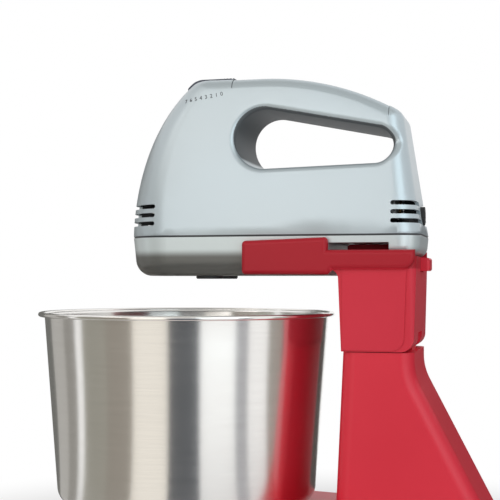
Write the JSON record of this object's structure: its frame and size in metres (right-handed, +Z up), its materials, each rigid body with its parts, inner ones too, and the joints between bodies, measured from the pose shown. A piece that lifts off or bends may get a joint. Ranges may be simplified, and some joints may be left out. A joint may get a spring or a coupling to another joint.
{
  "type": "hand mixer with tilting stand and bowl",
  "caption": "Hand mixer with a loop grip that docks in the cradle of a tilting stand, over a steel bowl on a turntable.",
  "frame": {"origin": "on the table surface, under the middle of the whole assembly", "axes": "+Z up, the mixer's nose and the bowl towards -X, symmetric in Y"},
  "size_m": [0.316, 0.2, 0.3287],
  "materials": {
    "red_plastic": "satin moulded plastic",
    "silver_plastic": "satin silver paint on moulded plastic",
    "dark_plastic": "fine matt moulded plastic",
    "stainless": "fine brush lines round the bowl",
    "rubber": "matt",
    "steel": "turned or drawn",
    "bronze": "sintered",
    "nylon": "matt",
    "laminations": "stacked sheet edges",
    "copper": "enamelled wire",
    "carbon": "matt"
  },
  "bodies": {
    "stand": {"base_housing": "red_plastic", "base_plate": "dark_plastic", "base_feet": "rubber", "base_screws": "steel", "column_housing": "red_plastic", "column_screws": "steel", "turntable_bush": "bronze", "hinge_pin": "steel"},
    "turntable": {"turntable": "red_plastic", "turntable_axle": "steel", "axle_clip": "steel"},
    "bowl": {"bowl": "stainless", "bowl_foot_ring": "stainless"},
    "arm": {"arm_left_shell": "red_plastic", "arm_right_shell": "red_plastic", "arm_screws": "steel", "hinge_bushes": "bronze"},
    "release": {"release_button": "red_plastic", "release_latch": "dark_plastic", "release_spring": "steel"},
    "mixer": {"upper_housing": "silver_plastic", "lower_housing": "silver_plastic", "handle_cover": "silver_plastic", "speed_switch": "dark_plastic", "gear_frame": "dark_plastic", "gear_cover": "dark_plastic", "worm_bearings": "bronze", "gear_screws": "steel", "housing_screws": "steel", "motor_stator": "laminations", "field_coils": "copper", "motor_front_bracket": "steel", "motor_rear_bracket": "steel", "motor_bearings": "bronze", "brush_holders": "dark_plastic", "carbon_brushes": "carbon", "spindle_bushes": "bronze", "socket_collars": "dark_plastic", "cord_gland": "rubber"},
    "rotor": {"worm_shaft": "steel", "rotor_core": "laminations", "rotor_windings": "copper", "commutator": "copper", "cooling_fan": "dark_plastic"},
    "left_drive": {"left_gear": "nylon", "left_spindle": "steel"},
    "right_drive": {"right_gear": "nylon", "right_spindle": "steel"},
    "eject": {"eject_key": "dark_plastic", "eject_plate": "dark_plastic", "eject_spring": "steel"},
    "slider": {"speed_slider": "dark_plastic"}
  },
  "joints": [
    {"name": "turntable_spin", "type": "hinge", "parent": "stand", "child": "turntable", "pos_m": [-0.058, 0, 0.04], "axis": [0, 0, 1], "continuous": true},
    {"name": "bowl_lift", "type": "slide", "parent": "turntable", "child": "bowl", "axis": [0, 0, 1], "range_m": [0, 0.016]},
    {"name": "head_tilt", "type": "hinge", "parent": "stand", "child": "arm", "pos_m": [0.0901, 0, 0.1579], "axis": [0, 1, 0], "range_deg": [0, 55]},
    {"name": "release_press", "type": "slide", "parent": "arm", "child": "release", "axis": [-1, 0, 0], "range_m": [0, 0.0035], "stiffness_N_per_m": 900, "deforming": ["release_spring"]},
    {"name": "mixer_lift", "type": "slide", "parent": "arm", "child": "mixer", "axis": [0, 0, 1], "range_m": [0, 0.06]},
    {"name": "rotor_spin", "type": "hinge", "parent": "mixer", "child": "rotor", "pos_m": [0, 0, 0.2404], "axis": [1, 0, 0], "continuous": true},
    {"name": "left_beater_spin", "type": "hinge", "parent": "mixer", "child": "left_drive", "pos_m": [-0.0369, -0.0184, 0.22], "axis": [0, 0, 1], "continuous": true},
    {"name": "right_beater_spin", "type": "hinge", "parent": "mixer", "child": "right_drive", "pos_m": [-0.0369, 0.0184, 0.22], "axis": [0, 0, 1], "continuous": true},
    {"name": "eject_press", "type": "slide", "parent": "mixer", "child": "eject", "axis": [0, 0, -1], "range_m": [0, 0.004], "stiffness_N_per_m": 1200, "deforming": ["eject_spring"]},
    {"name": "speed_slide", "type": "slide", "parent": "eject", "child": "slider", "axis": [-1, 0, 0], "range_m": [0, 0.0245]}
  ],
  "couplings": [
    {"joint": "left_beater_spin", "follows": "rotor_spin", "ratio": 0.027778},
    {"joint": "right_beater_spin", "follows": "rotor_spin", "ratio": -0.027778}
  ]
}
